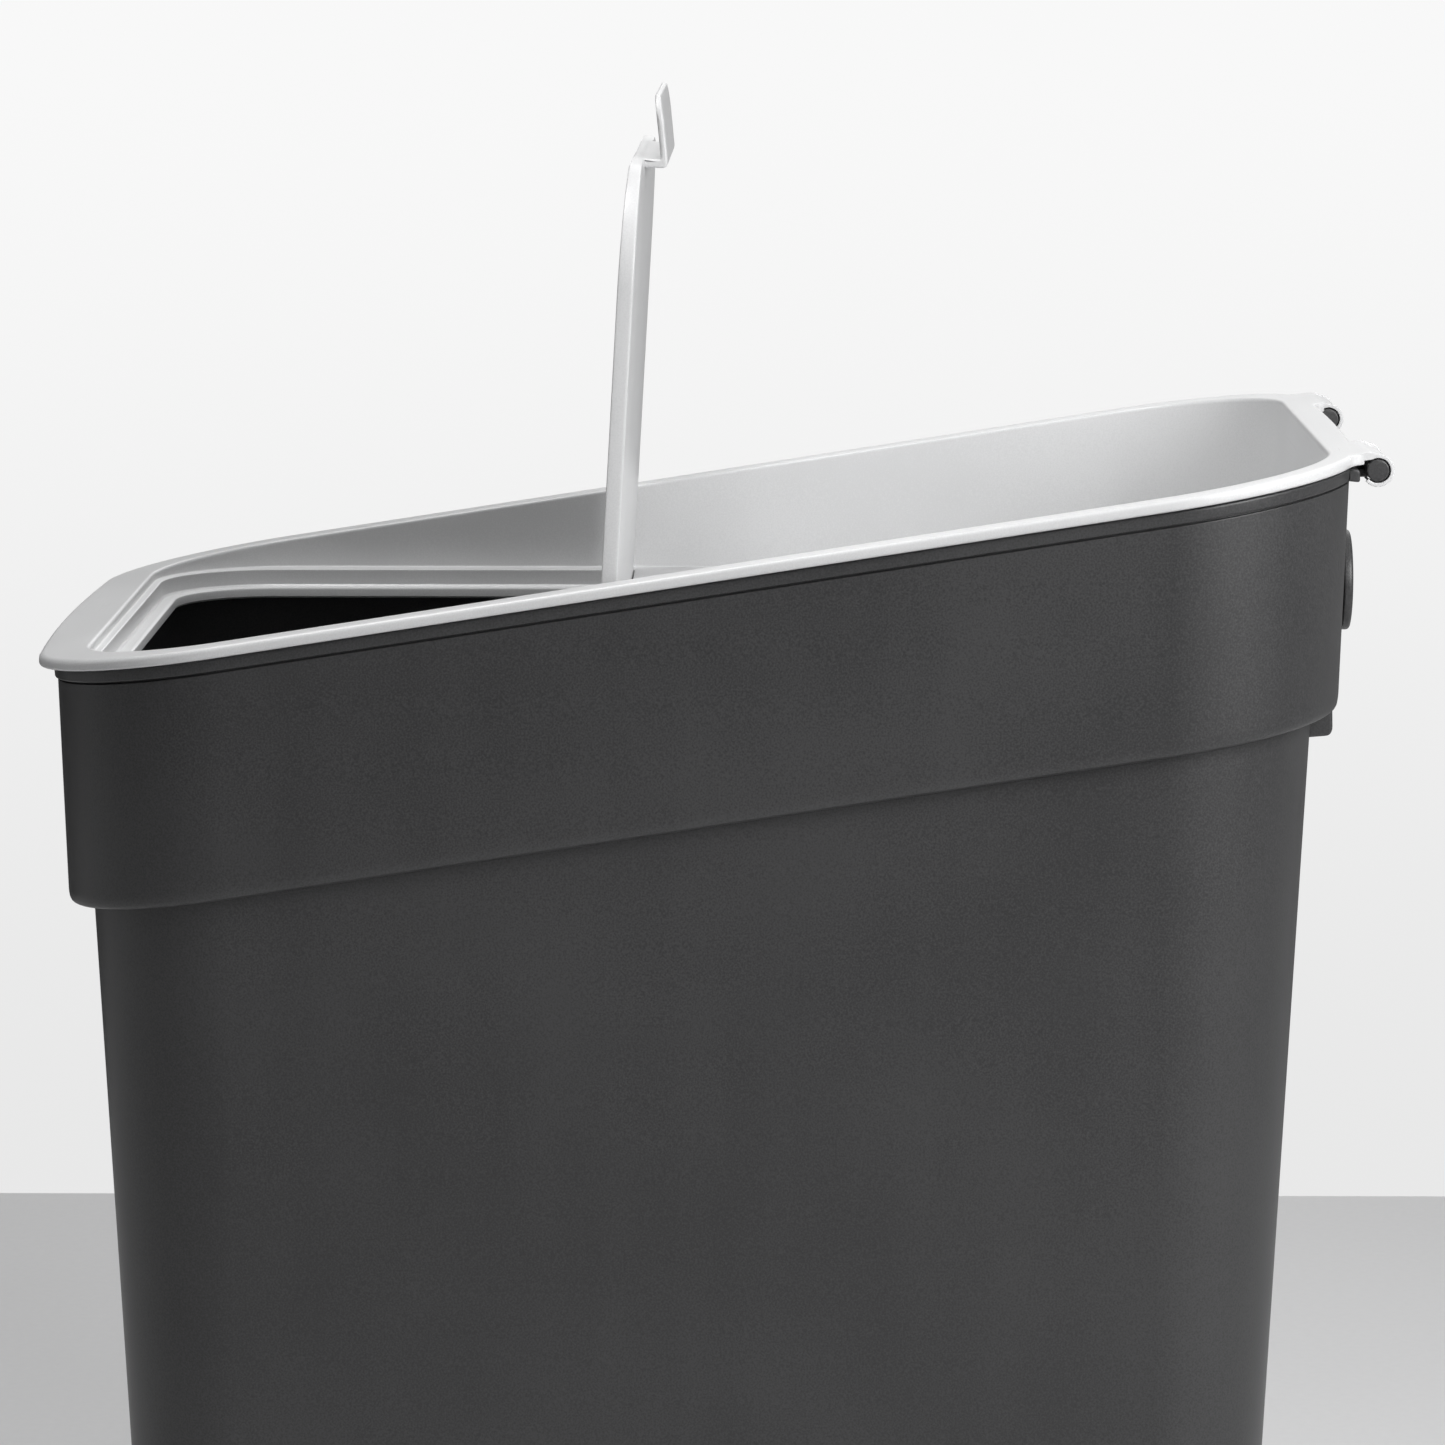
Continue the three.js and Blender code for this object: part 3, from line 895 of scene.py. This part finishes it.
def buildFlap():
    half, play = flap["half"], flap["play"]
    inner = -play - flap["skin"]
    skin = Skin()
    rear = flap["pocketRear"]
    levels = [
        (inner - 0.8 * mm, half - flap["skin"], rear - 0.8 * mm),
        (inner - 0.25 * mm, half - flap["skin"] - 0.25 * mm, rear - 0.25 * mm),
        (inner, half - flap["skin"] - 0.8 * mm, rear),
        (inner, 0.5 * mm - half, rear),
        (inner + 0.4 * mm, -half, rear + 0.4 * mm),
        (-play - 0.5 * mm, -half, -0.5 * mm),
        (-play - 0.12 * mm, 0.15 * mm - half, -0.12 * mm),
        (-play, 0.6 * mm - half, 0),
        (-play, half - 0.8 * mm, 0),
        (-play - 0.22 * mm, half - 0.22 * mm, -0.2 * mm),
        (-play - 0.8 * mm, half, -0.4 * mm),
        (-play - 2.4 * mm, half, -0.6 * mm),
    ]
    rings = [[(x, y, z) for x, y in flapPlan(grow, rearEdge)] for grow, z, rearEdge in levels]
    front = min(p[1] for ring in rings for p in ring)
    fullUntil = flap["skirtFullUntil"]
    for ring in rings:  # the skirt gets shallower towards the front edge
        for k, (x, y, z) in enumerate(ring):
            t = max(0.0, (y / front - fullUntil) / (1 - fullUntil))
            if z < 0:
                ring[k] = (x, y, z * (1 - flap["skirtLoss"] * t * t))
    made = skin.loft(rings)
    skin.plate(made[0])
    skin.plate(made[-1])
    edge = lid["recessX"] - play
    runAlongX(skin, circle(0, 0, half, 36), -edge, edge, 0.5 * mm)
    for x in (-flap["ribX"], 0, flap["ribX"]):  # stiffening ribs under the panel
        rib = closedSoft(
            [
                (front + 1.2 * mm, 0.6 * mm, 0.2 * mm),
                (front + 1.2 * mm, -0.6 * mm, 0.3 * mm),
                (rear + 1 * mm, -0.9 * mm, 0.3 * mm),
                (rear + 1 * mm, 0.6 * mm, 0.2 * mm),
            ]
        )
        runAlongX(skin, rib, x - flap["ribHalf"], x + flap["ribHalf"], 0.25 * mm)
    buildTab(skin)
    made = skin.toObject("flapPanel", pale)
    turn = Matrix.Translation(flapAxis) @ Matrix.Rotation(-flapOpen, 4, "X")
    made.data.transform(turn)
    return made


def buildTab(skin):
    toAxis = midY - flapAxis.y
    front = -(lid["recessFront"] - flap["frontPlay"])
    lift = rimZ - flapAxis.z

    def rimAt(y, above):
        return rim["slope"] * y + above + lift

    tipY = -flap["tabTip"]
    above, thick = flap["tabAbove"], flap["tabThick"]
    back = front + flap["riser"]
    corners = [
        (back, -1 * mm, 0.1 * mm),
        (back, 2 * mm, 0.1 * mm),
        (back, rimAt(back, above + thick), 1.9 * mm),
        (tipY + 3 * mm, rimAt(tipY + 3 * mm, above + thick), 2 * mm),
        (tipY, rimAt(tipY, above + thick - 0.35 * mm), 0.8 * mm),
        (tipY, rimAt(tipY, above - 0.05 * mm), 0.6 * mm),
        (front, rimAt(front, above), 0.9 * mm),
        (front, -1 * mm, 0.1 * mm),
    ]
    profile = [(y + toAxis, z) for y, z in closedSoft(corners, 6)]
    radius, blend = flap["tabCorner"], flap["tabBlend"]
    axisTip = tipY + toAxis

    def roundCorner(section, x):  # draws the tip back near the two ends
        past = max(0.0, abs(x) - (flap["tabHalf"] - radius))
        drawn = radius - math.sqrt(max(radius**2 - past**2, 0.0))
        weight = np.clip((axisTip + blend - section[:, 0]) / blend, 0, 1)
        moved = section.copy()
        moved[:, 0] += weight * drawn
        moved[:, 1] += weight * drawn * rim["slope"]
        return moved

    runAlongX(skin, profile, -flap["tabHalf"], flap["tabHalf"], 0.7 * mm, roundCorner, 6, 60)


flapPanel = buildFlap()
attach(flapPanel, "flap")
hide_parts("flap")


def buildFlapPin(node, name):
    low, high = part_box(node)
    skin = Skin()
    radius = (high.z - low.z) / 2
    runAlongX(skin, circle(flapAxis.y, flapAxis.z, radius, 24), low.x, high.x, 0.3 * mm)
    made = skin.toObject(name, dark)
    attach(made, "flap")
    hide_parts(node)


buildFlapPin("flap_pin_left", "hingePinLeft")
buildFlapPin("flap_pin_right", "hingePinRight")
print("flap made")

studio = {
    "floorFar": 0.70,  # floor's edge behind the bin
    "floorNear": 3.2,
    "floorHalf": 3.0,
    "floorThick": 0.03,
    "floorTone": (0.68, 0.68, 0.685),
    "floorEdge": 0.004,
    "backdrop": ((-0.225, 0.81), (-0.02, 0.94)),  # seen: upward part of a direction, tone
    "fill": ((-0.6, 0.04), (0.9, 0.28)),  # lighting: rearward part of a direction, tone
}


def buildFloor():
    look = bpy.data.materials.new("floorPaint")
    tree = Tree(look)
    tone = (tree.noise(3, 2) * 0.6 + tree.noise(300, 2) * 0.4).between(0.3, 0.7)
    high = studio["floorTone"]
    low = tuple(c * 0.96 for c in high)
    tree.surface({"Base Color": tree.greyMix(tone, low, high), "Roughness": 0.6})
    skin = Skin()
    half, thick, edge = studio["floorHalf"], studio["floorThick"], studio["floorEdge"]
    corners = ((-half, 0), (half, 0), (half, -thick), (-half, -thick))
    profile = closedSoft([(y, z, edge) for y, z in corners])
    runAlongX(skin, profile, -studio["floorFar"], studio["floorNear"], edge)
    floor = skin.toObject("floorSlab", look)


def buildWorld():
    world = bpy.data.worlds.new("studioWorld")
    bpy.context.scene.world = world
    tree = Tree(world)
    way = tree.node("TexCoord", {}, {})

    def graded(axis, stops):  # one tone along an axis to another
        (start, low), (end, high) = stops
        part = tree.node("SeparateXYZ", {}, {"Vector": way}, out=axis)
        strength = part.between(start, end) * (high - low) + low
        return tree.node("Background", {}, {"Color": (1, 1, 1, 1), "Strength": strength})

    seen = tree.node("LightPath", {}, {})
    fill, backdrop = graded(1, studio["fill"]), graded(2, studio["backdrop"])
    mix = tree.node("MixShader", {}, {0: seen, 1: fill, 2: backdrop})
    tree.node("OutputWorld", {}, {"Surface": mix})


lamps = (
    # name, place, aim, size, power
    ("topSoft", (0, 0, 3.2), (0, 0, 0.2), 4, 40),
    ("keySoft", (0.52, 0.50, 0.58), (0.05, 0.06, 0.30), 0.42, 5.0),
    ("frontSoft", (0.10, -0.20, 1.15), (0, -0.1, 0.3), 0.3, 3.6),
    ("noseSoft", (-0.4, -2.0, 1.0), (0, 0, 0.2), 1.4, 4),
    ("backSoft", (-1.8, 0.4, 1.3), (0, 0, 0.2), 1.4, 8),
)


def buildLamps():
    for name, place, aim, size, power in lamps:
        data = bpy.data.lights.new(name, "AREA")
        data.shape = "SQUARE"
        data.size = size
        data.energy = power
        lamp = bpy.data.objects.new(name, data)
        lamp.location = place
        lamp.rotation_euler = (Vector(aim) - Vector(place)).to_track_quat("-Z", "Y").to_euler()
        lamp.visible_camera = False
        bpy.context.scene.collection.objects.link(lamp)


shot = {
    "azimuth": 90.59,
    "elevation": 8.42,
    "distance": 1.5528,
    "aim": (0, midY + 6.05 * mm, rimZ - 54.5 * mm),
    "lens": 145.7,
}


def buildCamera():
    data = bpy.data.cameras.new("studioCamera")
    data.lens = shot["lens"]
    data.sensor_width = 36
    data.dof.use_dof = False
    data.clip_start = 0.05
    camera = bpy.data.objects.new("studioCamera", data)
    around, up = math.radians(shot["azimuth"]), math.radians(shot["elevation"])
    back = Vector((math.sin(around) * math.cos(up), -math.cos(around) * math.cos(up), math.sin(up)))
    camera.location = Vector(shot["aim"]) + back * shot["distance"]
    camera.rotation_mode = "QUATERNION"
    camera.rotation_quaternion = (-back).to_track_quat("-Z", "Y")
    bpy.context.scene.collection.objects.link(camera)
    bpy.context.scene.camera = camera


buildFloor()
buildWorld()
buildLamps()
buildCamera()
bpy.context.scene.view_settings.view_transform = "Standard"
print("studio made")
